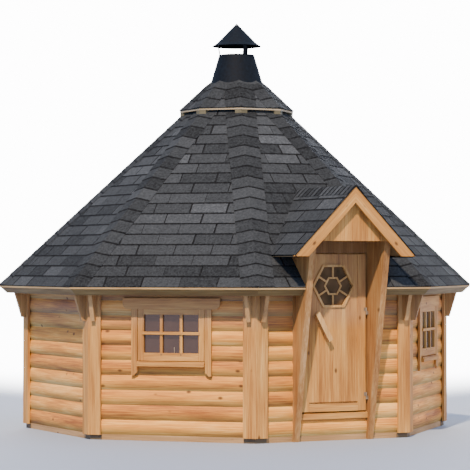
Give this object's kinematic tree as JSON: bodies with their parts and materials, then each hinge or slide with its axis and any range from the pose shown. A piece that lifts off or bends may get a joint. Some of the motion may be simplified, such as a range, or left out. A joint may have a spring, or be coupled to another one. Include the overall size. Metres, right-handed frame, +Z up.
{
  "type": "octagonal log garden cabin",
  "caption": "Octagonal log garden cabin with a shingled pyramid roof, a porch dormer over a hinged door, small windows and a vented metal chimney cap.",
  "frame": {"origin": "centre of the octagon at ground level, on the underside of the middle floor joist", "axes": "+Z up; the door wall faces -Y; +X is to the right seen from outside the door"},
  "size_m": [5.108, 5.309, 4.7073],
  "materials": {
    "logs": "oiled half-round logs",
    "boards": "oiled planed boards",
    "roof_boards": "planed roof boards",
    "floor_boards": "planed floor boards",
    "sill_timber": "dark impregnated timber",
    "shingles": "mineral-faced bitumen shingles",
    "black_sheet": "black stove paint on sheet steel",
    "hinge_steel": "zinc-plated steel",
    "glass": "clear pane over a dark room"
  },
  "bodies": {
    "hut": {"front_right_wall": "logs", "right_wall": "logs", "back_right_wall": "logs", "back_wall": "logs", "back_left_wall": "logs", "left_wall": "logs", "front_left_wall": "logs", "front_wall_left": "logs", "front_wall_right": "logs", "door_log": "logs", "sill_frame": "boards", "door_threshold": "boards", "left_cheek": "boards", "right_cheek": "boards", "door_head": "boards", "door_stops": "boards", "gable_panel": "boards", "barge_boards": "boards", "dormer_roof": "boards", "corner_boards": "boards", "eave_brackets": "boards", "right_window_casing": "boards", "left_window_casing": "boards", "right_window_sash": "boards", "left_window_sash": "boards", "front_roof": "roof_boards", "front_right_roof": "roof_boards", "right_roof": "roof_boards", "back_right_roof": "roof_boards", "back_roof": "roof_boards", "back_left_roof": "roof_boards", "left_roof": "roof_boards", "front_left_roof": "roof_boards", "fascia_boards": "roof_boards", "hip_rafters": "roof_boards", "smoke_collar": "roof_boards", "cap_roof": "roof_boards", "cap_blocks": "roof_boards", "floor_deck": "floor_boards", "floor_joists": "sill_timber", "dormer_shingles": "shingles", "roof_shingles": "shingles", "hip_shingles": "shingles", "cap_shingles": "shingles", "flue_cone": "black_sheet", "hat_struts": "black_sheet", "chimney_hat": "black_sheet", "frame_hinges": "hinge_steel", "right_window_glass": "glass", "left_window_glass": "glass"},
    "door": {"door_leaf": "boards", "door_rail": "boards", "door_light_frame": "boards", "door_glass": "glass", "door_handle": "boards", "door_hinges": "hinge_steel"}
  },
  "joints": [
    {"name": "door_hinge", "type": "hinge", "parent": "hut", "child": "door", "pos_m": [0.402, -2.284, 0.93], "axis": [0, 0, 1], "range_deg": [0, 90]}
  ]
}
